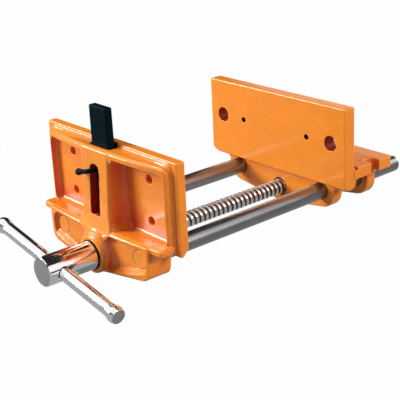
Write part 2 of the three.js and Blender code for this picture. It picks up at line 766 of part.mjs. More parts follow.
const HUB_BACK = BOSS_FRONT - 2 * SEAT_GAP - WASHER_THICKNESS;
const SCREW_FRONT = HUB_BACK - HUB_SOCKET + SEAT_GAP;
const COLLAR_FRONT = BOWL_BACK + SEAT_GAP;

function leadScrew() {
  const back = SCREW_BACK + OPENING;
  const body = turned([
    [0, SCREW_FRONT],
    [SPIGOT_RADIUS - 1, SCREW_FRONT],
    [SPIGOT_RADIUS, SCREW_FRONT + 1],
    [SPIGOT_RADIUS, HUB_BACK + SEAT_GAP],
    [SCREW_RADIUS, HUB_BACK + SEAT_GAP],
    [SCREW_RADIUS, back - 3],
    [SCREW_RADIUS - 3, back],
    [0, back],
  ]);
  const across = 2 * SCREW_RADIUS;
  const hubPinHole = pin(HUB_PIN_RADIUS + SLIDE_GAP, -across, across);
  const collarPinHole = pin(COLLAR_PIN_RADIUS + SLIDE_GAP, -across, across);
  return cut(
    body,
    hubPinHole.translate([0, HUB_PIN_Y, 0]),
    collarPinHole.translate([0, COLLAR_FRONT + COLLAR_LENGTH / 2, 0]),
  );
}

function handleHub() {
  const body = chamferedShaft(HUB_RADIUS, HUB_FRONT, HUB_BACK, HUB_CHAMFER, HUB_CHAMFER);
  const socket = shaft(SPIGOT_RADIUS + SLIDE_GAP, HUB_BACK - HUB_SOCKET, HUB_BACK + THROUGH);
  const cross = shaft(BAR_RADIUS + HUB_CROSS_GAP, -2 * HUB_RADIUS, 2 * HUB_RADIUS)
    .rotate([0, 0, 90])
    .translate([0, BAR_Y, 0]);
  const pinHole = pin(HUB_PIN_RADIUS + SLIDE_GAP, -2 * HUB_RADIUS, HUB_PIN_TOP + SEAT_GAP);
  return cut(body, socket, cross, pinHole.translate([0, HUB_PIN_Y, 0]));
}

const HUB_PIN_TOP = SPIGOT_RADIUS + 4;
const hubPin = () => pin(HUB_PIN_RADIUS, 1 - HUB_RADIUS, HUB_PIN_TOP).translate([0, HUB_PIN_Y, 0]);

function thrustWasher() {
  const back = BOSS_FRONT - SEAT_GAP;
  return sleeve(SCREW_RADIUS + SLIDE_GAP, WASHER_RADIUS, back - WASHER_THICKNESS, back);
}

function retainingCollar() {
  const ring = sleeve(SCREW_RADIUS + SLIDE_GAP, COLLAR_RADIUS, COLLAR_FRONT, COLLAR_FRONT + COLLAR_LENGTH);
  const hole = pin(COLLAR_PIN_RADIUS + SLIDE_GAP, -2 * COLLAR_RADIUS, 2 * COLLAR_RADIUS);
  return cut(ring, hole.translate([0, COLLAR_FRONT + COLLAR_LENGTH / 2, 0]));
}

function collarPin() {
  const reach = COLLAR_RADIUS - 0.5;
  return pin(COLLAR_PIN_RADIUS, -reach, reach).translate([0, COLLAR_FRONT + COLLAR_LENGTH / 2, 0]);
}

// ---------------------------------------------------------------- tommy bar, along its own Y axis

const BAR_SHOULDER = BAR_HALF_LENGTH - CAP_LENGTH - SEAT_GAP;

function handleBar() {
  const tip = BAR_HALF_LENGTH - CAP_LENGTH + CAP_SOCKET - SEAT_GAP;
  return turned([
    [0, -tip],
    [CAP_SPIGOT, -tip],
    [CAP_SPIGOT, -BAR_SHOULDER],
    [BAR_RADIUS, -BAR_SHOULDER],
    [BAR_RADIUS, BAR_SHOULDER],
    [CAP_SPIGOT, BAR_SHOULDER],
    [CAP_SPIGOT, tip],
    [0, tip],
  ]);
}

// A barrel-shaped end cap: the socket opens towards the bar
function handleCap() {
  const socket = CAP_SPIGOT + SLIDE_GAP;
  return turned([
    [0, CAP_SOCKET],
    [socket, CAP_SOCKET],
    [socket, 0],
    [BAR_RADIUS, 0],
    [BAR_RADIUS + 0.3, 2],
    [CAP_RADIUS - 1, 5],
    [CAP_RADIUS - 0.3, 8],
    [CAP_RADIUS, 11],
    [CAP_RADIUS - 0.3, 14],
    [CAP_RADIUS - 0.8, 15.8],
    [CAP_RADIUS - 1.5, CAP_LENGTH],
    [0, CAP_LENGTH],
  ], 24);
}

// ---------------------------------------------------------------- bench dog

function dogBar() {
  const back = DOG_FRONT + DOG_THICKNESS;
  const plan = rectangle(-DOG_HALF_WIDTH, DOG_HALF_WIDTH, DOG_FRONT, back, DOG_CORNER);
  const body = alongZ(plan, DOG_BOTTOM, DOG_TOP, 0.8);
  const socket = shaft(LEVER_STUD + SLIDE_GAP, DOG_FRONT - THROUGH, DOG_FRONT + LEVER_SOCKET, SMALL_ROUND);
  const rivetHole = shaft(RIVET_RADIUS + SLIDE_GAP, back - 5, back + THROUGH, SMALL_ROUND);
  return cut(body, socket.translate([0, 0, LEVER_Z]), rivetHole.translate([0, 0, RIVET_Z]));
}

// A bowed leaf on the back of the dog that presses it against the front of its well
const DOG_BACK = DOG_FRONT + DOG_THICKNESS;
const RIVET_Z = SPRING_TOP - SPRING_LENGTH / 2 - 4;

function dogSpring() {
  const near = DOG_BACK + SEAT_GAP;
  const far = DOG_WELL_BACK - SEAT_GAP;
  const low = SPRING_TOP - SPRING_LENGTH;
  const reach = far - near - SPRING_THICKNESS;
  const section = new THREE.Shape();
  const steps = 10;
  const bow = (t) => near + (reach * (1 - Math.cos(2 * Math.PI * Math.min(2 * t, 1)))) / 2;
  for (let i = 0; i <= steps; i++) {
    const t = i / steps;
    const z = SPRING_TOP + (low - SPRING_TOP) * t;
    if (i === 0) section.moveTo(bow(t), z);
    else section.lineTo(bow(t), z);
  }
  for (let i = steps; i >= 0; i--) {
    const t = i / steps;
    section.lineTo(bow(t) + SPRING_THICKNESS, SPRING_TOP + (low - SPRING_TOP) * t);
  }
  section.closePath();
  const leaf = alongX(section, -SPRING_HALF_WIDTH, SPRING_HALF_WIDTH);
  const hole = shaft(RIVET_RADIUS + SLIDE_GAP, near - THROUGH, far + THROUGH, SMALL_ROUND);
  return cut(leaf, hole.translate([0, 0, RIVET_Z]));
}

function springRivet() {
  const seat = DOG_BACK + 2 * SEAT_GAP + SPRING_THICKNESS;
  return turned(
    [
      [0, DOG_BACK - 4.5],
      [RIVET_RADIUS, DOG_BACK - 4.5],
      [RIVET_RADIUS, seat],
      [RIVET_HEAD, seat],
      [RIVET_HEAD - 0.8, seat + 1.2],
      [0, seat + 1.2],
    ],
    SMALL_ROUND,
  ).translate([0, 0, RIVET_Z]);
}

// The bent locking lever: a stud out of the dog, an arm across the slot and a knob
function dogLever() {
  const path = new THREE.CurvePath();
  const start = new THREE.Vector3(0, DOG_FRONT + LEVER_SOCKET - SEAT_GAP, 0);
  const bendStart = new THREE.Vector3(0, LEVER_ARM_Y + LEVER_BEND, 0);
  const bendEnd = new THREE.Vector3(-LEVER_BEND, LEVER_ARM_Y, 0);
  const corner = new THREE.Vector3(0, LEVER_ARM_Y, 0);
  const points = [
    start,
    bendStart,
    ...new THREE.QuadraticBezierCurve3(bendStart, corner, bendEnd).getPoints(6).slice(1),
    new THREE.Vector3(-LEVER_REACH + LEVER_KNOB, LEVER_ARM_Y, 0),
  ];
  for (let i = 1; i < points.length; i++) path.add(new THREE.LineCurve3(points[i - 1], points[i]));
  const section = new THREE.Shape().absarc(0, 0, LEVER_ARM, 0, 2 * Math.PI, false);
  const bar = solid(new THREE.ExtrudeGeometry(section, { extrudePath: path, steps: 18, curveSegments: 6 }));
  const stud = shaft(LEVER_STUD, LEVER_ARM_Y + LEVER_BEND + 2, DOG_FRONT + LEVER_SOCKET - SEAT_GAP, SMALL_ROUND);
  const tip = LEVER_REACH;
  const knob = turned(
    [
      [0, tip],
      [LEVER_KNOB * 0.7, tip - LEVER_KNOB * 0.25],
      [LEVER_KNOB, tip - LEVER_KNOB],
      [LEVER_KNOB * 0.85, tip - LEVER_KNOB * 1.9],
      [LEVER_ARM, tip - LEVER_KNOB * 3.2],
      [0, tip - LEVER_KNOB * 3.2],
    ],
    SMALL_ROUND,
  )
    .rotate([0, 0, 90])
    .translate([0, LEVER_ARM_Y, 0]);
  return join(bar, stud, knob);
}

// ---------------------------------------------------------------- materials

const finish = (color, roughness, metalness) => ({ color, roughness, metalness });
const ENAMEL = finish(0xee7a28, 0.25, 0);
const GROUND_STEEL = finish(0x8d8a88, 0.35, 1);
const BRIGHT_STEEL = finish(0xb9b9b6, 0.3, 1);
const CHROME = finish(0xd9dadb, 0.08, 1);
const BLACKED_STEEL = finish(0x10161b, 0.35, 0.4);
const BRONZE = finish(0xa9793f, 0.4, 1);

function part(name, body, look) {
  const mesh = body.getMesh();
  const geometry = new THREE.BufferGeometry();
  geometry.setAttribute("position", new THREE.BufferAttribute(new Float32Array(mesh.vertProperties), 3));
  geometry.setIndex(new THREE.BufferAttribute(new Uint32Array(mesh.triVerts), 1));
  const faceted = geometry.toNonIndexed();
  faceted.computeVertexNormals();
  const node = new THREE.Mesh(faceted, new THREE.MeshStandardMaterial(look));
  node.name = name;
  return node;
}

function placed(node, x, y, z) {
  node.position.set(x, y, z);
  return node;
}

function group(...nodes) {
  const made = new THREE.Group();
  made.add(...nodes);
  return made;
}

// ---------------------------------------------------------------- assembly

const rearBody = group(
  part("rear_jaw", rearJaw(), ENAMEL),
  placed(part("lead_nut", leadNut(), BRONZE), 0, NUT_SEAT, SCREW_Z),
  placed(part("nut_screw_left", nutScrew(), BLACKED_STEEL), -NUT_SCREW_X, NUT_SCREW_SEAT, SCREW_Z),
  placed(part("nut_screw_right", nutScrew(), BLACKED_STEEL), NUT_SCREW_X, NUT_SCREW_SEAT, SCREW_Z),
);

const handle = group(part("handle_bar", handleBar(), CHROME));
for (const [side, turn] of [["left", 0], ["right", Math.PI]]) {
  const cap = part(`handle_cap_${side}`, handleCap(), CHROME);
  cap.position.y = (turn === 0 ? 1 : -1) * (BAR_HALF_LENGTH - CAP_LENGTH);
  cap.rotation.z = turn;
  handle.add(cap);
}
handle.position.y = BAR_Y;
handle.rotation.z = Math.PI / 2;

const spindle = group(
  part("lead_screw", leadScrew(), BRIGHT_STEEL),
  part("handle_hub", handleHub(), CHROME),
  part("hub_pin", hubPin(), BRIGHT_STEEL),
  part("thrust_washer", thrustWasher(), BLACKED_STEEL),
  part("retaining_collar", retainingCollar(), BLACKED_STEEL),
  part("collar_pin", collarPin(), BRIGHT_STEEL),
  handle,
);
spindle.position.z = SCREW_Z;
spindle.rotation.y = THREE.MathUtils.degToRad(-BAR_TILT);

const lever = placed(part("dog_lever", dogLever(), BLACKED_STEEL), 0, 0, LEVER_Z);
lever.rotation.y = THREE.MathUtils.degToRad(-LEVER_TILT);

const carriage = group(part("front_jaw", frontJaw(), ENAMEL), spindle, lever);
for (const [side, x] of [["left", -ROD_X], ["right", ROD_X]]) {
  carriage.add(placed(part(`guide_rod_${side}`, guideRod(), GROUND_STEEL), x, 0, ROD_Z));
  carriage.add(placed(part(`rod_pin_${side}`, rodPin(), BRIGHT_STEEL), x, ROD_PIN_Y, ROD_Z));
}
carriage.add(
  part("dog_bar", dogBar(), BLACKED_STEEL),
  part("dog_spring", dogSpring(), BRIGHT_STEEL),
  part("dog_spring_rivet", springRivet(), BRIGHT_STEEL),
);
carriage.position.y = -OPENING;

const vise = group(rearBody, carriage);
vise.position.set(0, -REAR_PLATE, -FLANGE_TOP / 2);

export default vise;
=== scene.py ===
"""Looks of a woodworking bench vise: two enamelled castings, ground guide rods, a lead screw with a
real thread, a plated hub and bar handle, and a blacked bench dog with its locking lever.

Everything is in metres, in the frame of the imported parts: X along the jaws, Y into the bench, Z up.
"""

import json
import math

import bmesh
import bpy
from mathutils import Matrix, Vector


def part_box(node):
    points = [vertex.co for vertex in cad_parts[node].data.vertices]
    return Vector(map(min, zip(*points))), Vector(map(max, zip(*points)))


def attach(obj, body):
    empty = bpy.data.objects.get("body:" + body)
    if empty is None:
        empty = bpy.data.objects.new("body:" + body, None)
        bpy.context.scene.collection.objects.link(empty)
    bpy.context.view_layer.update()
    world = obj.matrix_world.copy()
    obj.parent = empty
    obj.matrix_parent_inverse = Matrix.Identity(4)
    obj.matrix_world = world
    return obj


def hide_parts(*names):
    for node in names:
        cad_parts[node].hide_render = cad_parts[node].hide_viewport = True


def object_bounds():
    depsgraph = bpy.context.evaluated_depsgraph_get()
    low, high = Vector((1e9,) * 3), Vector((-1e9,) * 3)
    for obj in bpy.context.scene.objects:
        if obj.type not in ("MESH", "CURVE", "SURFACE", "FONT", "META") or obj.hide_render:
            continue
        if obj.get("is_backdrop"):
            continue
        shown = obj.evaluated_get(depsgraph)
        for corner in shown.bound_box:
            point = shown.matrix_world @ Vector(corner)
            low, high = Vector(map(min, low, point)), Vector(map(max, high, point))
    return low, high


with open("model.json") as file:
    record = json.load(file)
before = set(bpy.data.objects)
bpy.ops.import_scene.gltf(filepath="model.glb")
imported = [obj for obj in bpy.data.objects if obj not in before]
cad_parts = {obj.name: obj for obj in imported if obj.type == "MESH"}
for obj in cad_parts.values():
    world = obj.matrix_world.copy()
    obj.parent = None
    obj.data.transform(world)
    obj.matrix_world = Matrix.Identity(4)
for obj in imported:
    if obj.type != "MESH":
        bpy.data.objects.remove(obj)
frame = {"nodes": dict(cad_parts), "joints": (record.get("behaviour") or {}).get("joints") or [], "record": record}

bl_info = {
    "name": "Woodworking bench vise",
    "version": (1, 0, 0),
    "blender": (4, 5, 0),
    "location": "View3D > Sidebar > Vise",
    "description": "Dresses the packed parts of a woodworking bench vise",
    "category": "Object",
}

MM = 0.001
WELD = 0.002 * MM        # vertices closer than this are one
TURN = 2 * math.pi
AXIS_Y = Vector((0, 1, 0))
AXIS_Z = Vector((0, 0, 1))


# ---------------------------------------------------------------- frame


def span(node):
    """Lowest corner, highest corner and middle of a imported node."""
    low, high = (Vector(corner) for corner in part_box(node))
    return low, high, (low + high) / 2


def joint(name):
    """A packed joint, with its place and axis."""
    return next(entry for entry in frame["joints"] if entry["name"] == name)


# ---------------------------------------------------------------- shader maths


class Value:
    """A socket that adds its Math node when it stands in an expression."""

    def __init__(self, look, socket):
        self.look = look
        self.socket = socket

    def _maths(self, operation, first, second):
        """Adds the Math node of one operation."""
        return self.look.node("ShaderNodeMath", {"operation": operation}, {0: first, 1: second})

    def __add__(self, other):
        return self._maths("ADD", self, other)

    def __sub__(self, other):
        return self._maths("SUBTRACT", self, other)

    def __rsub__(self, other):
        return self._maths("SUBTRACT", other, self)

    def __mul__(self, other):
        return self._maths("MULTIPLY", self, other)

    __radd__ = __add__
    __rmul__ = __mul__


class Look:
    """A material being written: its tree, its surface and the patterns that feed it."""

    def __init__(self, name):
        self.material = bpy.data.materials.new(name)
        self.material.use_nodes = True
        self.tree = self.material.node_tree
        self.tree.nodes.clear()
        self.surface = self.tree.nodes.new("ShaderNodeBsdfPrincipled")
        output = self.tree.nodes.new("ShaderNodeOutputMaterial")
        self.tree.links.new(self.surface.outputs["BSDF"], output.inputs["Surface"])
        self.place = self.node("ShaderNodeTexCoord", {}, {}, "Object")

    def feed(self, socket, value):
        """Links a value to a socket, or sets the socket to a constant."""
        if isinstance(value, Value):
            self.tree.links.new(value.socket, socket)
        else:
            socket.default_value = value

    def node(self, kind, settings, inputs, output=0):
        """Adds a node, sets it up, feeds its sockets and returns one of its outputs."""
        made = self.tree.nodes.new(kind)
        for key, value in settings.items():
            setattr(made, key, value)
        for key, value in inputs.items():
            self.feed(made.inputs[key], value)
        return Value(self, made.outputs[output])

    def noise(self, size, detail, stretch=(1, 1, 1)):
        """Noise whose lumps are about `size` metres across, times `stretch` along each axis."""
        scale = [1 / (size * longer) for longer in stretch]
        scaled = self.node("ShaderNodeMapping", {}, {"Vector": self.place, "Scale": scale})
        return self.node("ShaderNodeTexNoise", {}, {"Vector": scaled, "Scale": 1, "Detail": detail})

    def steps(self, value, low, high):
        """0 below `low`, 1 above `high` and smooth between them."""
        return self.node(
            "ShaderNodeMapRange",
            {"interpolation_type": "SMOOTHSTEP"},
            {"Value": value, "From Min": low, "From Max": high},
        )

    def blend(self, mask, first, second):
        """Mixes two colours."""
        made = self.tree.nodes.new("ShaderNodeMix")
        made.data_type = "RGBA"
        for socket, value in zip((made.inputs[0], made.inputs[6], made.inputs[7]), (mask, first, second)):
            self.feed(socket, value)
        return Value(self, made.outputs[2])

    def bump(self, height, distance, under=None):
        """Relief `distance` deep, laid over the relief `under` it if there is one."""
        inputs = {"Height": height, "Distance": distance, "Strength": 1}
        if under is not None:
            inputs["Normal"] = under
        return self.node("ShaderNodeBump", {}, inputs)

    def finish(self, **sockets):
        """Feeds the surface's sockets and returns the material."""
        for name, value in sockets.items():
            self.feed(self.surface.inputs[name.replace("_", " ")], value)
        return self.material


def color(value, factor=1.0):
    """A property's colour as four numbers, scaled."""
    return (*[min(channel * factor, 1) for channel in value[:3]], 1)


# ---------------------------------------------------------------- finishes


def enamel(finishes):
    """Glossy orange enamel with a fine orange peel; edges are painted paler, partly for thin enamel and partly as
    a painted highlight, and hollows and creases are painted redder and darker as painted shade.
    """
    look = Look("orange_enamel_finish")
    point = look.node("ShaderNodeNewGeometry", {}, {}, "Pointiness")
    # Painted highlight: sharp edges, found from high pointiness, are painted paler, partly also for thin enamel
    # over them.
    edge = look.steps(point, 0.508, 0.56)
    # Painted shade: creases, found from low pointiness, are painted towards the redder hollow colour.
    crease_shade = look.steps(0.5 - point, 0.004, 0.05)
    patch = look.steps(look.noise(28 * MM, 3), 0.35, 0.65)
    base = look.blend(patch, color(finishes.enamel, 0.96), color(finishes.enamel, 1.02))
    base = look.blend(crease_shade * 0.4, base, color(finishes.enamel_hollow_shade))
    # Painted shade: hollows that little light gets into are painted redder, mostly sparing faces that look up, and
    # the deepest ones are painted darker still.
    around = {"only_local": True, "samples": 8}
    shut = 1 - look.node("ShaderNodeAmbientOcclusion", around, {"Distance": 44 * MM}, "AO")
    facing = look.node("ShaderNodeTexCoord", {}, {}, "Normal")
    rise = look.node("ShaderNodeVectorMath", {"operation": "DOT_PRODUCT"}, {0: facing, 1: AXIS_Z}, "Value")
    not_upward = 1 - look.steps(rise, 0.3, 0.9) * 0.85
    hollow = look.steps(shut, 0.09, 0.43) * not_upward * 0.85
    base = look.blend(hollow, base, color(finishes.enamel_hollow_shade))
    base = look.blend(look.steps(shut, 0.55, 0.85) * 0.75, base, color(finishes.enamel_shade))
    base = look.blend(edge * 0.45, base, color(finishes.enamel_edge_highlight))
    peel = look.noise(1.5 * MM, 1) * 1.2 + look.noise(5 * MM, 2)
    sand_cast = look.bump(look.noise(14 * MM, 2), 0.35 * MM)
    return look.finish(
        Base_Color=base,
        Roughness=look.noise(9 * MM, 2) * 0.12 + 0.2,
        Specular_IOR_Level=0.35,
        Coat_Weight=0.25,
        Coat_Roughness=0.06,
        Normal=look.bump(peel, 0.1 * MM, sand_cast),
    )


def shaded_enamel(finishes):
    """Enamel inside slots and holes, painted dark and dull as painted shade."""
    look = Look("shaded_enamel_finish")
    run = look.steps(look.noise(9 * MM, 2), 0.3, 0.7)
    peel = look.noise(3 * MM, 2)
    return look.finish(
        Base_Color=look.blend(run, color(finishes.enamel_shade), color(finishes.enamel_shade, 0.7)),
        Roughness=peel * 0.2 + 0.35,
        Specular_IOR_Level=0.2,
        Normal=look.bump(peel, 0.1 * MM),
    )


def painted_shadow_core(finishes):
    """A near-black, dull finish deep in cored holes: painted shade."""
    look = Look("painted_shadow_core_finish")
    grit = look.noise(1.2 * MM, 3)
    return look.finish(
        Base_Color=look.blend(grit, color(finishes.core), color(finishes.core, 0.5)),
        Roughness=grit * 0.2 + 0.6,
        Specular_IOR_Level=0.1,
        Normal=look.bump(grit, 0.15 * MM),
    )


def ground_steel(finishes):
    """Rods ground round and round, with faint stains."""
    look = Look("ground_steel_finish")
    rings = look.noise(0.5 * MM, 3, stretch=(40, 1, 40))
    stain = look.steps(look.noise(30 * MM, 3), 0.4, 0.75)
    base = look.blend(stain * 0.5, color(finishes.rod), color(finishes.rod, 0.8))
    return look.finish(
        Base_Color=base,
        Metallic=1.0,
        Roughness=rings * 0.14 + 0.25,
        Normal=look.bump(rings, 0.01 * MM),
    )


def thread_steel(finishes):
    """Bright rolled steel with a little grime."""
    look = Look("thread_steel_finish")
    grime = look.steps(look.noise(6 * MM, 3), 0.35, 0.8)
    base = look.blend(grime * 0.35, color(finishes.thread), color(finishes.thread, 0.6))
    fine = look.noise(0.8 * MM, 2)
    return look.finish(
        Base_Color=base,
        Metallic=1.0,
        Roughness=fine * 0.15 + 0.2,
        Normal=look.bump(fine, 0.02 * MM),
    )


def groove_shade_steel(finishes):
    """The grooves of the thread, painted dark as painted shade."""
    look = Look("groove_shade_steel_finish")
    film = look.noise(3 * MM, 3)
    return look.finish(
        Base_Color=look.blend(film, color(finishes.groove_shade_colour), color(finishes.groove_shade_colour, 2.0)),
        Metallic=0.7,
        Roughness=film * 0.2 + 0.25,
        Normal=look.bump(film, 0.05 * MM),
    )


def chrome(finishes):
    """Polished plate with patches of haze."""
    look = Look("chrome_plate_finish")
    haze = look.steps(look.noise(18 * MM, 3), 0.4, 0.8)
    return look.finish(
        Base_Color=look.blend(haze * 0.3, color(finishes.chrome), color(finishes.chrome, 0.92)),
        Metallic=1.0,
        Roughness=haze * 0.06 + 0.09,
    )


def faced_steel(finishes):
    """Turned end faces: duller than the plate round them."""
    look = Look("faced_steel_finish")
    fine = look.noise(0.6 * MM, 3)
    patch = look.steps(look.noise(5 * MM, 2), 0.3, 0.7)
    return look.finish(
        Base_Color=look.blend(patch, color(finishes.faced), color(finishes.faced, 0.9)),
        Metallic=0.6,
        Roughness=fine * 0.1 + 0.45,
        Normal=look.bump(fine, 0.01 * MM),
    )


def blacked_steel(finishes):
    """Chemically blacked steel, mottled and almost without gloss."""
    look = Look("blacked_steel_finish")
    mottle = look.steps(look.noise(4 * MM, 3), 0.35, 0.75)
    base = look.blend(mottle * 0.5, color(finishes.black), color(finishes.black, 2.0))
    rough = look.noise(1.5 * MM, 3)
    return look.finish(
        Base_Color=base,
        Specular_IOR_Level=0.02,
        Roughness=rough * 0.2 + 0.25,
        Normal=look.bump(rough, 0.06 * MM),
    )


def bronze(finishes):
    """Machined bronze with some tarnish."""
    look = Look("bronze_finish")
    tarnish = look.steps(look.noise(10 * MM, 3), 0.35, 0.75)
    base = look.blend(tarnish * 0.6, color(finishes.bronze), color(finishes.bronze, 0.6))
    fine = look.noise(0.7 * MM, 2)
    return look.finish(
        Base_Color=base,
        Metallic=1.0,
        Roughness=tarnish * 0.2 + 0.3,
        Normal=look.bump(fine, 0.02 * MM),
    )


FINISHES = {
    "orange_enamel": enamel,
    "shaded_enamel": shaded_enamel,
    "painted_shadow_core": painted_shadow_core,
    "ground_steel": ground_steel,
    "thread_steel": thread_steel,
    "groove_shade_steel": groove_shade_steel,
    "chrome_plate": chrome,
    "faced_steel": faced_steel,
    "blacked_steel": blacked_steel,
    "bronze": bronze,
}


def finish_named(name):
    """The finish of that name, made the first time it is asked for."""
    made = bpy.data.materials.get(f"{name}_finish")
    return made or FINISHES[name](bpy.context.scene.vise_finishes)


# ---------------------------------------------------------------- meshes


def settle(piece, body, slot, node, *finishes, sharp=35):
    """Gives a new piece its finishes and smooth shading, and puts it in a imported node's place."""
    for name in finishes or (slot,):
        piece.data.materials.append(finish_named(name))
    piece.data.shade_smooth()
    piece.data.set_sharp_from_angle(angle=math.radians(sharp))
    piece.modifiers.new("even_shading", "WEIGHTED_NORMAL").keep_sharp = True
    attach(piece, body)
    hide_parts(node)


def refinish(piece, number, inside):
    """Gives the faces for which `inside` is true another of the piece's finishes."""
    for face in piece.data.polygons:
        if inside(face.center, face.normal):
            face.material_index = number


def finish_node(node, name):
    """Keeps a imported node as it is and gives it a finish."""
    frame["nodes"][node].data.materials[0] = finish_named(name)


def new_piece(name, bm):
    """Turns a bmesh into an object at the origin."""
    bmesh.ops.remove_doubles(bm, verts=bm.verts, dist=WELD)
    bmesh.ops.recalc_face_normals(bm, faces=bm.faces)
    mesh = bpy.data.meshes.new(name)
    bm.to_mesh(mesh)
    bm.free()
    piece = bpy.data.objects.new(name, mesh)
    bpy.context.collection.objects.link(piece)
    return piece


def frame_of(point, along):
    """A matrix that takes the Y axis to `along` and the origin to `point`."""
    turn = AXIS_Y.rotation_difference(Vector(along)).to_matrix().to_4x4()
    return Matrix.Translation(point) @ turn


def lathe(bm, profile, place=None, sides=96):
    """Spins a profile of (radius, height) pairs about the Y axis and puts it in place."""
    start = [bm.verts.new((radius, height, 0)) for radius, height in profile]
    edges = [bm.edges.new(pair) for pair in zip(start, start[1:])]
    bmesh.ops.spin(
        bm,
        geom=start + edges,
        cent=(0, 0, 0),
        axis=AXIS_Y,
        angle=TURN,
        steps=sides,
        use_merge=True,
        use_normal_flip=False,
        use_duplicate=False,
    )
    if place is not None:
        bmesh.ops.transform(bm, matrix=place, verts=bm.verts)


def rounded(radius, low, high, edge_low, edge_high):
    """Profile of a solid shaft whose two ends have rounded edges."""
    steps = 3
    turns = [k / steps * math.pi / 2 for k in range(steps + 1)]
    points = [(0, low)]
    for turn in turns:
        points.append((radius - edge_low * (1 - math.sin(turn)), low + edge_low * (1 - math.cos(turn))))
    for turn in turns:
        points.append((radius - edge_high * (1 - math.cos(turn)), high - edge_high * (1 - math.sin(turn))))
    points.append((0, high))
    return points


def swept(bm, stations, sides=24):
    """Joins rings along a path; each station is a centre, a direction and a radius."""
    loops = []
    for centre, along, radius in stations:
        place = frame_of(centre, along) @ Matrix.Rotation(math.pi / 2, 4, "X")
        ring = bmesh.ops.create_circle(bm, cap_ends=False, segments=sides, radius=radius, matrix=place)
        loops.append(ring["verts"])
    for near, far in zip(loops, loops[1:]):
        edges = [edge for edge in bm.edges if all(v in near for v in edge.verts)]
        edges += [edge for edge in bm.edges if all(v in far for v in edge.verts)]
        bmesh.ops.bridge_loops(bm, edges=edges)
    for loop in (loops[0], loops[-1]):
        bmesh.ops.contextual_create(bm, geom=loop)


def merged_copy(node):
    """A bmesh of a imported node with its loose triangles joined."""
    bm = bmesh.new()
    bm.from_mesh(frame["nodes"][node].data)
    bmesh.ops.remove_doubles(bm, verts=bm.verts, dist=WELD)
    return bm


def baked(piece):
    """Applies a piece's modifiers to its mesh."""
    graph = bpy.context.evaluated_depsgraph_get()
    mesh = bpy.data.meshes.new_from_object(piece.evaluated_get(graph))
    piece.modifiers.clear()
    piece.data = mesh


# ---------------------------------------------------------------- sizes and colours


def length(name, description, default):
    """A property in metres."""
    return bpy.props.FloatProperty(
        name=name, description=description, default=default, unit="LENGTH", precision=5
    )


def paint(name, description, default):
    """A property that is a colour."""
    return bpy.props.FloatVectorProperty(
        name=name, description=description, default=default, subtype="COLOR", size=3, min=0, max=1
    )


class ViseFinishes(bpy.types.PropertyGroup):
    """Colours of the finishes."""

    enamel: paint("Enamel", "Enamel on both castings", (0.91, 0.285, 0.02))
    # Painted highlight along sharp edges, partly also the paler colour of thin enamel there.
    enamel_edge_highlight: paint("Enamel edge", "Thin enamel over sharp edges", (1.0, 0.5, 0.14))
    # Painted shade: the redder colour of creases and hollows.
    enamel_hollow_shade: paint("Enamel hollow", "Enamel that has run into corners", (0.72, 0.095, 0.05))
    # Painted shade: the dark colour of slots, holes and the deepest hollows.
    enamel_shade: paint("Enamel in slots", "Thick enamel inside slots and holes", (0.45, 0.034, 0.016))
    # Painted shade: the near-black colour deep in the dog's well and the lining screw holes.
    core: paint("Core", "Bare iron deep in cored holes", (0.02, 0.008, 0.006))
    rod: paint("Rod", "Ground guide rods", (0.31, 0.315, 0.325))
    thread: paint("Thread", "Lead screw", (0.74, 0.745, 0.75))
    # Painted shade: the dark colour of the thread's grooves.
    groove_shade_colour: paint("Grease", "Grooves of the thread", (0.07, 0.06, 0.05))
    chrome: paint("Chrome", "Hub and bar handle", (0.86, 0.87, 0.88))
    faced: paint("Faced steel", "End faces of hub and bar", (0.31, 0.315, 0.32))
    black: paint("Blacked steel", "Dog, lever and washer", (0.0012, 0.0075, 0.012))
    bronze: paint("Bronze", "Lead nut", (0.5, 0.28, 0.1))


class ViseSizes(bpy.types.PropertyGroup):
    """Sizes that the frame leaves open."""

    grain: length("Casting grain", "Size of the cells that the castings are rebuilt from", 0.8 * MM)
    soften: bpy.props.IntProperty(
        name="Casting softness", description="Passes that round the edges", default=3
    )
    keep: bpy.props.FloatProperty(
        name="Casting detail", description="Share of the faces that stay", default=0.3
    )
    pitch: length("Thread pitch", "Travel of the screw in one turn", 8 * MM)
    thread_depth: length("Thread depth", "From crest to root", 2.3 * MM)
    thread_ends: length("Thread run-out", "Plain length at the screw's rear end", 4 * MM)
    lining_screw_in: length("Lining screws", "From the bolt holes in to the lining's screw holes", 42 * MM)
    lever_tilt: bpy.props.FloatProperty(
        name="Lever tilt", description="Below the horizontal", default=math.radians(14), subtype="ANGLE"
    )
    lever_arm: length("Lever arm", "Radius of the lever's rod", 2.85 * MM)
    lever_knob: length("Lever knob", "Radius of the bulb at the lever's end", 4.2 * MM)
    lever_bend: length("Lever bend", "Radius of the bend between stud and arm", 5 * MM)


# ---------------------------------------------------------------- castings


# The front jaw's own measures: depths run forward from its clamping face and drops down from its top.
WEB_HALF = 27 * MM       # half the width of the web between the deep pockets
POCKET_ROOF = 12.6 * MM
POCKET_FLOOR = 100 * MM


def fill_front_jaw(bm, points):
    """Adds the closed hull of points that are each given by their place across, depth and drop."""
    _, high, middle = span("front_jaw")
    corners = [
        bm.verts.new((middle.x + across, high.y - depth, high.z - drop)) for across, depth, drop in points
    ]
    bmesh.ops.convex_hull(bm, input=corners)


def web_foot(bm):
    """Fills the step in front of the web's foot, so that the web runs down into the lower body."""
    buried = 30 * MM
    sections = (  # half width, depth, drop
        (WEB_HALF, 37.6 * MM, 90 * MM),
        (31 * MM, 41.1 * MM, 104 * MM),
        (22 * MM, 41.1 * MM, 112 * MM),
    )
    points = []
    for half, front, drop in sections:
        for side in (-1, 1):
            points += [(side * half, front, drop), (side * half, buried, drop)]
    fill_front_jaw(bm, points)


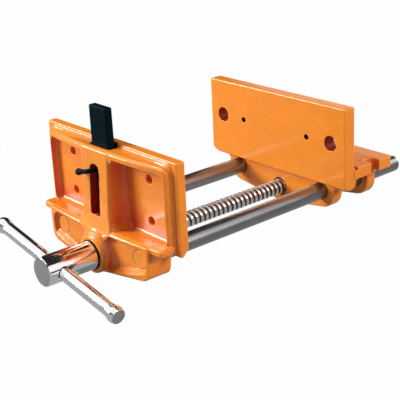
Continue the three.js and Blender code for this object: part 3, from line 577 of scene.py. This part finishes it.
def web_crown(bm):
    """Blends the head of the web into the rim on either side, where the web stands a little proud."""
    on_web, on_rim, buried = 21 * MM, 45 * MM, 27 * MM
    sections = (  # drop, depth on the web, depth on the rim
        (5.2 * MM, 30.1 * MM, 28.0 * MM),
        (7 * MM, 32.4 * MM, 29.9 * MM),
        (9 * MM, 33.0 * MM, 30.7 * MM),
        (POCKET_ROOF, 33.1 * MM, 30.7 * MM),
    )
    for side in (-1, 1):
        points = []
        for drop, proud, flush in sections:
            for across, depth in ((on_web, proud), (on_rim, flush), (on_web, buried), (on_rim, buried)):
                points.append((side * across, depth, drop))
        fill_front_jaw(bm, points)


def pocket_corners(bm):
    """Fills the deep pockets' corners at the web, under the rim and on the shelf, with wedges."""
    leg, buried = 6.5 * MM, 3 * MM
    section = ((-buried, leg), (0, leg), (leg, 0), (leg, -buried), (-buried, -buried))
    back, flare = 12 * MM, 9 * MM
    for side in (-1, 1):
        for seat, front, inward in ((POCKET_ROOF, 31.4 * MM, 1), (POCKET_FLOOR, 37.4 * MM, -1)):
            points = []
            for depth, shift in ((front, 0), (back, flare)):
                for out, off in section:
                    points.append((side * (WEB_HALF + shift + out), depth, seat + inward * off))
            fill_front_jaw(bm, points)


def soft_casting(node, body, *additions):
    """A casting rebuilt on a fine even mesh, with its edges and corners rounded by smoothing."""
    sizes = bpy.context.scene.vise_sizes
    bm = merged_copy(node)
    for add in additions:
        add(bm)
    piece = new_piece(f"{node}_casting", bm)
    grid = piece.modifiers.new("grid", "REMESH")
    grid.mode = "VOXEL"
    grid.voxel_size = sizes.grain
    smooth = piece.modifiers.new("smooth", "SMOOTH")
    smooth.factor = 0.5
    smooth.iterations = sizes.soften
    thin = piece.modifiers.new("thin", "DECIMATE")
    thin.ratio = sizes.keep
    baked(piece)
    settle(piece, body, "orange_enamel", node, "orange_enamel", "shaded_enamel", "painted_shadow_core", sharp=180)
    return piece


# Places of the last two finishes on a casting, both painted shade.
SHADED, SHADOW_CORE = 1, 2


def shade_dog_well(piece):
    """Painted shade: the lever's slot gets the shaded enamel, and the well behind it the near-black core finish.
    """
    low, high, middle = span("dog_bar")
    well_back = span("dog_spring")[1].y + 1 * MM
    well_half = (high.x - low.x) / 2 + 4 * MM
    well_front = low.y - 0.6 * MM
    lever = Vector(joint("dog_lever_turn")["pos_m"])
    well_top = lever.z + 28 * MM
    slot_half, slot_front = 9.8 * MM, lever.y - 9 * MM
    slot_foot, slot_head = lever.z - 58 * MM, lever.z + 8 * MM
    looks_forward = -0.6

    def in_slot(at, normal):
        across = abs(at.x - middle.x) < slot_half and slot_foot < at.z < slot_head
        return across and slot_front < at.y <= low.y and normal.y > looks_forward

    def in_well(at, normal):
        return abs(at.x - middle.x) < well_half and well_front < at.y < well_back and at.z < well_top

    refinish(piece, SHADED, in_slot)
    refinish(piece, SHADOW_CORE, in_well)


def shade_holes(piece):
    """Paints shade on the walls of the four holes through the rear plate: the shaded enamel in the bolt holes and
    the near-black core finish in the lining screw holes.
    """
    bolt_hole, lining_hole, wall_slope = 10.4 * MM, 3.9 * MM, 0.7
    for opening in frame["record"]["physics"]["openings"]:
        if not opening["name"].startswith("edge_bolt_hole"):
            continue
        low, high = (Vector(corner) for corner in opening["box_m"])
        bolt = (low + high) / 2
        inward = math.copysign(bpy.context.scene.vise_sizes.lining_screw_in, bolt.x)
        for number, x, reach in ((SHADED, bolt.x, bolt_hole), (SHADOW_CORE, bolt.x - inward, lining_hole)):

            def in_hole(at, normal):
                near = math.hypot(at.x - x, at.z - bolt.z) < reach and low.y < at.y < high.y
                return near and abs(normal.y) < wall_slope

            refinish(piece, number, in_hole)


class VISE_OT_castings(bpy.types.Operator):
    """Rebuilds both castings with soft cast edges"""

    bl_idname = "vise.castings"
    bl_label = "Castings"

    def execute(self, context):
        shade_holes(soft_casting("rear_jaw", "rear_body"))
        shade_dog_well(soft_casting("front_jaw", "carriage", web_foot, web_crown, pocket_corners))
        return {"FINISHED"}


# ---------------------------------------------------------------- rods


def guide_rod(side):
    """A ground rod with a chamfered rear end, and its front end face painted with the casting."""
    node = f"guide_rod_{side}"
    low, high, middle = span(node)
    radius = (high.x - low.x) / 2
    front_edge, rear_edge, painted = 0.6 * MM, 2.4 * MM, 0.5 * MM
    bm = bmesh.new()
    profile = rounded(radius, low.y, high.y, front_edge, rear_edge)
    lathe(bm, profile, Matrix.Translation((middle.x, 0, middle.z)))
    rod = new_piece(f"{node}_bar", bm)
    settle(rod, "carriage", "ground_steel", node, "ground_steel", "orange_enamel")
    refinish(rod, 1, lambda at, normal: at.y < low.y + painted)


class VISE_OT_rods(bpy.types.Operator):
    """Makes the ground guide rods, painted over with the casting at their front ends"""

    bl_idname = "vise.rods"
    bl_label = "Guide rods"

    def execute(self, context):
        for side in ("left", "right"):
            guide_rod(side)
            finish_node(f"rod_pin_{side}", "ground_steel")
        return {"FINISHED"}


# ---------------------------------------------------------------- lead screw


def thread_ridge(bm, root, crest, start, finish, pitch):
    """Winds the crowned ridge of a rolled right-hand thread along the Y axis, sunk into the core."""
    sunk, foot = 0.4 * MM, 0.375
    crown = ((0, 0.04), (0.25 * MM, 0.18), (0.8 * MM, 0.285))  # drop from the crest, share of the pitch
    half = [(crest - drop, share * pitch) for drop, share in crown]
    half.append((root - sunk, foot * pitch))
    corners = [(radius, -offset) for radius, offset in reversed(half)] + half
    verts = [bm.verts.new((radius, start + offset, 0)) for radius, offset in corners]
    face = bm.faces.new(verts)
    steps = 30
    turns = (finish - start) / pitch
    bmesh.ops.spin(
        bm,
        geom=[face] + list(face.edges) + verts,
        cent=(0, 0, 0),
        axis=AXIS_Y,
        dvec=AXIS_Y * (pitch / steps),
        angle=TURN * turns,
        steps=round(steps * turns),
        use_merge=False,
        use_normal_flip=False,
        use_duplicate=False,
    )


class VISE_OT_lead_screw(bpy.types.Operator):
    """Makes the lead screw: a plain core, its front spigot and a wound thread"""

    bl_idname = "vise.lead_screw"
    bl_label = "Lead screw"

    def execute(self, context):
        sizes = context.scene.vise_sizes
        low, high, middle = span("lead_screw")
        crest = (high.x - low.x) / 2
        root = crest - sizes.thread_depth
        spigot_to = low.y + 30 * MM
        plain_to = span("retaining_collar")[1].y + 2 * MM
        chamfer, groove = 1.5 * MM, 1 * MM
        bm = bmesh.new()
        thread_ridge(bm, root, crest, plain_to, high.y - sizes.thread_ends, sizes.pitch)
        profile = [
            (0, low.y),
            (root, low.y),
            (root, spigot_to),
            (crest, spigot_to),
            (crest, plain_to),
            (root, plain_to + groove),
            (root, high.y - chamfer),
            (root - chamfer, high.y),
            (0, high.y),
        ]
        lathe(bm, profile)
        bmesh.ops.translate(bm, verts=bm.verts, vec=(middle.x, 0, middle.z))
        screw = new_piece("lead_screw_thread", bm)
        settle(screw, "screw", "thread_steel", "lead_screw", "thread_steel", "groove_shade_steel")

        # Painted shade: the thread's grooves take the dark finish.
        def in_groove(at, normal):
            return at.y > plain_to and math.hypot(at.x - middle.x, at.z - middle.z) < crest - groove

        refinish(screw, 1, in_groove)
        return {"FINISHED"}


# ---------------------------------------------------------------- hub, washer and collar


def turned_hub(middle, radius, front, rear):
    """The hub as turned: a cylinder with both ends chamfered."""
    chamfer = 1 * MM
    profile = [
        (0, front),
        (radius - chamfer, front),
        (radius, front + chamfer),
        (radius, rear - chamfer),
        (radius - chamfer, rear),
        (0, rear),
    ]
    bm = bmesh.new()
    lathe(bm, profile, Matrix.Translation((middle.x, 0, middle.z)))
    return new_piece("handle_hub_turned", bm)


def drill_hub(hub, radius):
    """Drills the bar's hole across the hub and breaks the edges."""
    clearance, tool_edge = 1 * MM, 0.1 * MM
    bar_radius, middle, along, _ = bar_places()
    reach = 2 * radius
    bm = bmesh.new()
    drill = rounded(bar_radius + clearance, -reach, reach, tool_edge, tool_edge)
    lathe(bm, drill, frame_of(middle, along), 64)
    cutter = new_piece("cross_hole", bm)
    hole = hub.modifiers.new("hole", "BOOLEAN")
    hole.object = cutter
    hole.solver = "EXACT"
    rim = hub.modifiers.new("rim", "BEVEL")
    rim.width = 0.25 * MM
    rim.segments = 2
    rim.limit_method = "ANGLE"
    rim.angle_limit = math.radians(30)
    baked(hub)
    bpy.data.objects.remove(cutter)


def thrust_washer():
    """A thin ring between the hub and the boss."""
    low, high, middle = span("thrust_washer")
    screw_low, screw_high, _ = span("lead_screw")
    outer = (high.x - low.x) / 2 - 0.5 * MM
    inner = (screw_high.x - screw_low.x) / 2 + 0.3 * MM
    edge = 0.2 * MM
    profile = [
        (inner, low.y),
        (outer - edge, low.y),
        (outer, low.y + edge),
        (outer, high.y - edge),
        (outer - edge, high.y),
        (inner, high.y),
        (inner, low.y),
    ]
    bm = bmesh.new()
    lathe(bm, profile, Matrix.Translation((middle.x, 0, middle.z)))
    settle(new_piece("thrust_washer_ring", bm), "screw", "blacked_steel", "thrust_washer")


class VISE_OT_hub(bpy.types.Operator):
    """Makes the plated hub with its cross hole, and the washer behind it"""

    bl_idname = "vise.hub"
    bl_label = "Handle hub"

    def execute(self, context):
        low, high, middle = span("handle_hub")
        radius = (high.z - low.z) / 2
        faced = 0.05 * MM
        hub = turned_hub(middle, radius, low.y, high.y)
        drill_hub(hub, radius)
        settle(hub, "screw", "chrome_plate", "handle_hub", "chrome_plate", "faced_steel")
        refinish(hub, 1, lambda at, normal: at.y < low.y + faced)
        thrust_washer()
        finish_node("hub_pin", "thread_steel")
        finish_node("retaining_collar", "blacked_steel")
        finish_node("collar_pin", "thread_steel")
        return {"FINISHED"}


# ---------------------------------------------------------------- bar handle


def bar_places():
    """Radius, middle and direction of the bar, and how far each cap's middle lies from the bar's."""
    low, high, middle = span("handle_bar")
    along = Vector(joint("handle_slide")["axis"]).normalized()
    radius = (high.y - low.y) / 2
    left, right = (span(f"handle_cap_{side}")[2] for side in ("left", "right"))
    return radius, middle, along, (right - left).dot(along) / 2


def barrel(radius, swell, low, high):
    """Profile of an end cap that swells past its middle and ends in a flat face."""
    mouth, face = radius + 0.1 * MM, radius + 0.65 * MM
    mouth_edge, face_edge = 0.4 * MM, 0.2 * MM
    points = [(0, low), (mouth - mouth_edge, low)]
    steps = 12
    for k in range(steps + 1):
        share = k / steps
        bulge = math.sin(math.pi * share ** 1.5) ** 1.2
        ends = mouth + (face - mouth) * share
        length_here = (high - low - mouth_edge - face_edge) * share
        points.append((ends + (radius + swell - ends) * bulge, low + mouth_edge + length_here))
    points.append((face - face_edge, high))
    points.append((0, high))
    return points


class VISE_OT_handle(bpy.types.Operator):
    """Makes the bar handle and its two barrel-shaped end caps"""

    bl_idname = "vise.handle"
    bl_label = "Bar handle"

    def execute(self, context):
        radius, middle, along, reach = bar_places()
        cap_half, in_cap, seam, swell = 8.4 * MM, 2 * MM, 0.3 * MM, 2 * MM
        faced = 0.02 * MM
        shoulder, tip = reach - cap_half, reach + cap_half
        bm = bmesh.new()
        profile = rounded(radius, -shoulder - in_cap, shoulder + in_cap, seam, seam)
        lathe(bm, profile, frame_of(middle, along))
        settle(new_piece("handle_bar_turned", bm), "handle", "chrome_plate", "handle_bar")
        for side, outward in (("left", -along), ("right", along)):
            node = f"handle_cap_{side}"
            bm = bmesh.new()
            lathe(bm, barrel(radius, swell, shoulder + seam, tip), frame_of(middle, outward))
            cap = new_piece(f"{node}_turned", bm)
            settle(cap, "handle", "chrome_plate", node, "chrome_plate", "faced_steel", sharp=25)
            refinish(cap, 1, lambda at, normal: (at - middle).dot(outward) > tip - faced)
        return {"FINISHED"}


# ---------------------------------------------------------------- bench dog


class VISE_OT_dog(bpy.types.Operator):
    """Makes the bench dog with its worn edges, and finishes its spring"""

    bl_idname = "vise.dog"
    bl_label = "Bench dog"

    def execute(self, context):
        low, high, middle = span("dog_bar")
        taper = (0.985, 0.95, 1)
        bm = bmesh.new()
        bmesh.ops.create_cube(bm, size=1)
        bmesh.ops.scale(bm, vec=high - low, verts=bm.verts)
        bmesh.ops.translate(bm, vec=middle, verts=bm.verts)
        top = [vert for vert in bm.verts if vert.co.z > middle.z]
        axis = Matrix.Translation((-middle.x, -middle.y, 0))
        bmesh.ops.scale(bm, vec=taper, verts=top, space=axis)
        bmesh.ops.bevel(
            bm,
            geom=list(bm.edges),
            offset=1.6 * MM,
            affect="EDGES",
            segments=4,
            profile=0.5,
            material=-1,
        )
        settle(new_piece("dog_bar_forged", bm), "dog", "blacked_steel", "dog_bar")
        for node in ("dog_spring", "dog_spring_rivet"):
            finish_node(node, "thread_steel")
        return {"FINISHED"}


# ---------------------------------------------------------------- locking lever


def lever_stations(sizes, stud_end, arm_y, reach):
    """Stations of the lever before it is tilted: back to front along its stud, then out along its arm."""
    thin, knob, bend = sizes.lever_arm, sizes.lever_knob, sizes.lever_bend
    stations = [((0, stud_end, 0), -AXIS_Y, thin), ((0, arm_y + 3 * bend, 0), -AXIS_Y, thin)]
    bend_steps = 8
    for k in range(bend_steps + 1):
        turn = k / bend_steps * math.pi / 2
        place = (-bend * (1 - math.cos(turn)), arm_y + bend * (1 - math.sin(turn)), 0)
        stations.append((place, (-math.sin(turn), -math.cos(turn), 0), thin))
    # The arm's last stretch, 3.6 knob radii long, swells over its first part and ends in half a ball.
    stretch, swollen_at, blunt = 3.6, 1 / 1.6, 0.02
    neck = reach - stretch * knob
    stations.append(((-neck, arm_y, 0), (-1, 0, 0), thin))
    knob_steps = 16
    for k in range(1, knob_steps + 1):
        share = k / knob_steps
        into_ball = max(share * stretch - (stretch - 1), 0)
        round_end = math.sqrt(max(1 - into_ball ** 2, blunt))
        swell = thin + (knob - thin) * min(share / swollen_at, 1) ** 1.5
        along = neck + (reach - neck) * share
        stations.append(((-along, arm_y, 0), (-1, 0, 0), swell * round_end))
    return stations


class VISE_OT_lever(bpy.types.Operator):
    """Makes the bent locking lever with its bulb end"""

    bl_idname = "vise.lever"
    bl_label = "Locking lever"

    def execute(self, context):
        sizes = context.scene.vise_sizes
        low, high, _ = span("dog_lever")
        pivot = Vector(joint("dog_lever_turn")["pos_m"])
        knob = sizes.lever_knob
        reach = (pivot.x - low.x - knob) / math.cos(sizes.lever_tilt) + knob
        bm = bmesh.new()
        swept(bm, lever_stations(sizes, high.y, low.y + knob, reach))
        tilt = Matrix.Rotation(-sizes.lever_tilt, 4, AXIS_Y)
        place = Matrix.Translation((pivot.x, 0, pivot.z)) @ tilt
        bmesh.ops.transform(bm, matrix=place, verts=bm.verts)
        settle(new_piece("dog_lever_bent", bm), "lever", "blacked_steel", "dog_lever", sharp=60)
        return {"FINISHED"}


# ---------------------------------------------------------------- lead nut


class VISE_OT_nut(bpy.types.Operator):
    """Finishes the lead nut and its screws behind the rear jaw's front wall"""

    bl_idname = "vise.nut"
    bl_label = "Lead nut"

    def execute(self, context):
        finish_node("lead_nut", "bronze")
        for side in ("left", "right"):
            finish_node(f"nut_screw_{side}", "blacked_steel")
        return {"FINISHED"}


# ---------------------------------------------------------------- stage

# The studio, in metres. Its walls are cards that only mirrors see.
LEFT, RIGHT = -2.6, 1.2
FRONT, REAR = -1.9, 2.2
CEILING = 0.9
BEYOND = 3
BLACK, NEAR_BLACK = 0.02, 0.03


def new_tree(owner):
    """Empties a material's or a world's tree; gives it back with a function that adds a node."""
    owner.use_nodes = True
    tree = owner.node_tree
    tree.nodes.clear()

    def add(kind, **inputs):
        made = tree.nodes.new(kind)
        for name, value in inputs.items():
            made.inputs[name].default_value = value
        return made

    return tree, add


def area_light(name, at, side, power, tint=(1, 1, 1)):
    """A square lamp that looks at the middle of the vise."""
    towards = Vector((0, -0.15, 0))
    data = bpy.data.lights.new(name, "AREA")
    data.shape = "RECTANGLE"
    data.size = data.size_y = side
    data.energy = power
    data.color = tint
    light = bpy.data.objects.new(name, data)
    light.location = at
    light.rotation_euler = (towards - Vector(at)).to_track_quat("-Z", "Y").to_euler()
    bpy.context.collection.objects.link(light)


def flag(name, shade, corners):
    """A card that only mirrors see: dark and grey ones give plated metal its bands."""
    bm = bmesh.new()
    bm.faces.new([bm.verts.new(corner) for corner in corners])
    piece = new_piece(name, bm)
    material = bpy.data.materials.new(name)
    tree, add = new_tree(material)
    glow = add("ShaderNodeEmission", Color=(shade, shade, shade, 1))
    output = add("ShaderNodeOutputMaterial")
    tree.links.new(glow.outputs[0], output.inputs["Surface"])
    piece.data.materials.append(material)
    piece.visible_camera = False
    piece.visible_diffuse = False
    piece.visible_transmission = False
    piece.visible_volume_scatter = False
    piece.visible_shadow = False
    piece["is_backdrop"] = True


def lying(x0, x1, y0, y1, height):
    """Corners of a card that lies level."""
    return [(x0, y0, height), (x1, y0, height), (x1, y1, height), (x0, y1, height)]


def standing(start, end, low, high):
    """Corners of a card that stands on a line of the plan."""
    return [(*start, low), (*end, low), (*end, high), (*start, high)]


def flags():
    """The cards: a grey table, a front wall that darkens upwards, dark walls and ceiling, and painted shadows of
    the vise on the table.
    """
    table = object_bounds()[0][2] - 0.3 * MM
    shade_top, hub_shade_top = table + 0.1 * MM, table + 0.2 * MM
    flag("table_card", 0.42, lying(-BEYOND, BEYOND, -BEYOND, BEYOND, table))
    steps = ((table, 0.42), (0.25, 0.25), (0.55, 0.12), (0.78, 0.02), (0.98, 0))
    for k, ((low, shade), (high, _)) in enumerate(zip(steps, steps[1:])):
        flag(f"front_card_{k}", shade, standing((-BEYOND, FRONT), (RIGHT, FRONT), low, high))
    flag("back_card", BLACK, lying(LEFT, 0.25, 0.35, REAR, CEILING))
    flag("hub_card", BLACK, lying(LEFT, 0.74, -0.1, 0.35, CEILING))
    flag("right_card", NEAR_BLACK, standing((RIGHT, 0.42), (RIGHT, REAR), table, 0.25))
    flag("hub_right_card", BLACK, standing((RIGHT, -0.33), (RIGHT, 0.42), table, 0.03))
    # Painted shadow: the shade cards and the foot card stand for the vise's shadow on the table, seen only in
    # mirrors.
    flag("shade_card", 0.32, lying(0.12, RIGHT, -0.22, REAR, shade_top))
    hub_shade = ((0.085, -0.37), (RIGHT, 0.05), (RIGHT, 0.31), (0.085, -0.326))
    flag("hub_shade_card", BLACK, [(x, y, hub_shade_top) for x, y in hub_shade])
    flag("foot_shadow_card", 0.2, lying(0, 0.04, -0.345, -0.3, hub_shade_top))
    flag("left_card", NEAR_BLACK, standing((LEFT, -1), (LEFT, 2.4), table, CEILING))


def camera():
    """The view of the vise from its front right, a little from above."""
    data = bpy.data.cameras.new("camera")
    data.sensor_width = 36
    data.lens = 91.18
    data.shift_x = -0.0092
    data.shift_y = -0.0416
    data.clip_end = 20
    view = bpy.data.objects.new("camera", data)
    view.location = (0.9398, -0.9339, 0.3975)
    line_of_sight = Vector((-0.7196, 0.6028, -0.3447))
    aim = line_of_sight.to_track_quat("-Z", "Y").to_matrix().to_4x4()
    roll = Matrix.Rotation(math.radians(-2.72), 4, "Z")
    view.rotation_euler = (aim @ roll).to_euler()
    bpy.context.collection.objects.link(view)
    bpy.context.scene.camera = view


def backdrop():
    """A world that shows plain white to the camera and to mirrors, and lights softly."""
    world = bpy.data.worlds.new("paper")
    bpy.context.scene.world = world
    tree, add = new_tree(world)
    path = add("ShaderNodeLightPath")
    seen = add("ShaderNodeMath")
    seen.operation = "MAXIMUM"
    plain = add("ShaderNodeBackground", Color=(1, 1, 1, 1), Strength=1)
    soft = add("ShaderNodeBackground", Color=(1, 0.84, 0.82, 1), Strength=0.24)
    mix = add("ShaderNodeMixShader")
    output = add("ShaderNodeOutputWorld")
    tree.links.new(path.outputs["Is Camera Ray"], seen.inputs[0])
    tree.links.new(path.outputs["Is Glossy Ray"], seen.inputs[1])
    tree.links.new(seen.outputs[0], mix.inputs[0])
    tree.links.new(soft.outputs[0], mix.inputs[1])
    tree.links.new(plain.outputs[0], mix.inputs[2])
    tree.links.new(mix.outputs[0], output.inputs["Surface"])


def floor():
    """White paper that glows to the camera and is grey to the light."""
    whiteness = 0.985
    bm = bmesh.new()
    bmesh.ops.create_grid(bm, x_segments=1, y_segments=1, size=4)
    bmesh.ops.translate(bm, verts=bm.verts, vec=(0, 0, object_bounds()[0][2] - 0.5 * MM))
    piece = new_piece("floor", bm)
    material = bpy.data.materials.new("floor_paper")
    tree, add = new_tree(material)
    path = add("ShaderNodeLightPath")
    seen = add("ShaderNodeMath")
    seen.operation = "MULTIPLY"
    seen.inputs[1].default_value = whiteness
    paper = add("ShaderNodeBsdfDiffuse", Color=(0.3, 0.3, 0.3, 1))
    glow = add("ShaderNodeEmission")
    mix = add("ShaderNodeMixShader")
    output = add("ShaderNodeOutputMaterial")
    tree.links.new(path.outputs["Is Camera Ray"], seen.inputs[0])
    tree.links.new(seen.outputs[0], mix.inputs[0])
    tree.links.new(paper.outputs[0], mix.inputs[1])
    tree.links.new(glow.outputs[0], mix.inputs[2])
    tree.links.new(mix.outputs[0], output.inputs["Surface"])
    piece.data.materials.append(material)
    piece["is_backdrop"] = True


class VISE_OT_stage(bpy.types.Operator):
    """Sets the camera, the lamps and a white floor and background"""

    bl_idname = "vise.stage"
    bl_label = "Stage"

    def execute(self, context):
        context.scene.view_settings.view_transform = "Standard"
        camera()
        backdrop()
        floor()
        flags()
        area_light("key", (-1.7, -1.7, 0.8), 0.8, 61)
        area_light("side", (1.6, 0.1, 0.8), 0.5, 20, (1, 0.88, 0.88))
        area_light("rim", (-0.9, -0.9, 1.5), 0.1, 10)
        area_light("back", (0.5, 2.4, 0.8), 0.7, 26)
        return {"FINISHED"}


# ---------------------------------------------------------------- panel and start

OPERATORS = (
    VISE_OT_castings,
    VISE_OT_rods,
    VISE_OT_lead_screw,
    VISE_OT_nut,
    VISE_OT_hub,
    VISE_OT_handle,
    VISE_OT_dog,
    VISE_OT_lever,
    VISE_OT_stage,
)


class VISE_PT_panel(bpy.types.Panel):
    """Lists the vise's sizes, colours and pieces"""

    bl_idname = "VISE_PT_panel"
    bl_label = "Bench vise"
    bl_space_type = "VIEW_3D"
    bl_region_type = "UI"
    bl_category = "Vise"

    def draw(self, context):
        for group in (context.scene.vise_sizes, context.scene.vise_finishes):
            for name in group.__annotations__:
                self.layout.prop(group, name)
        for operator in OPERATORS:
            self.layout.operator(operator.bl_idname)


CLASSES = (ViseFinishes, ViseSizes, *OPERATORS, VISE_PT_panel)


def register():
    """Adds the classes and the scene's two groups of properties."""
    for one in CLASSES:
        bpy.utils.register_class(one)
    bpy.types.Scene.vise_finishes = bpy.props.PointerProperty(type=ViseFinishes)
    bpy.types.Scene.vise_sizes = bpy.props.PointerProperty(type=ViseSizes)


def unregister():
    """Takes them away again."""
    del bpy.types.Scene.vise_sizes
    del bpy.types.Scene.vise_finishes
    for one in reversed(CLASSES):
        bpy.utils.unregister_class(one)


def main():
    """Makes every piece and the stage."""
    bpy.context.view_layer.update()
    register()
    for operator in OPERATORS:
        group, name = operator.bl_idname.split(".")
        getattr(getattr(bpy.ops, group), name)()


if __name__ == "__main__":
    main()
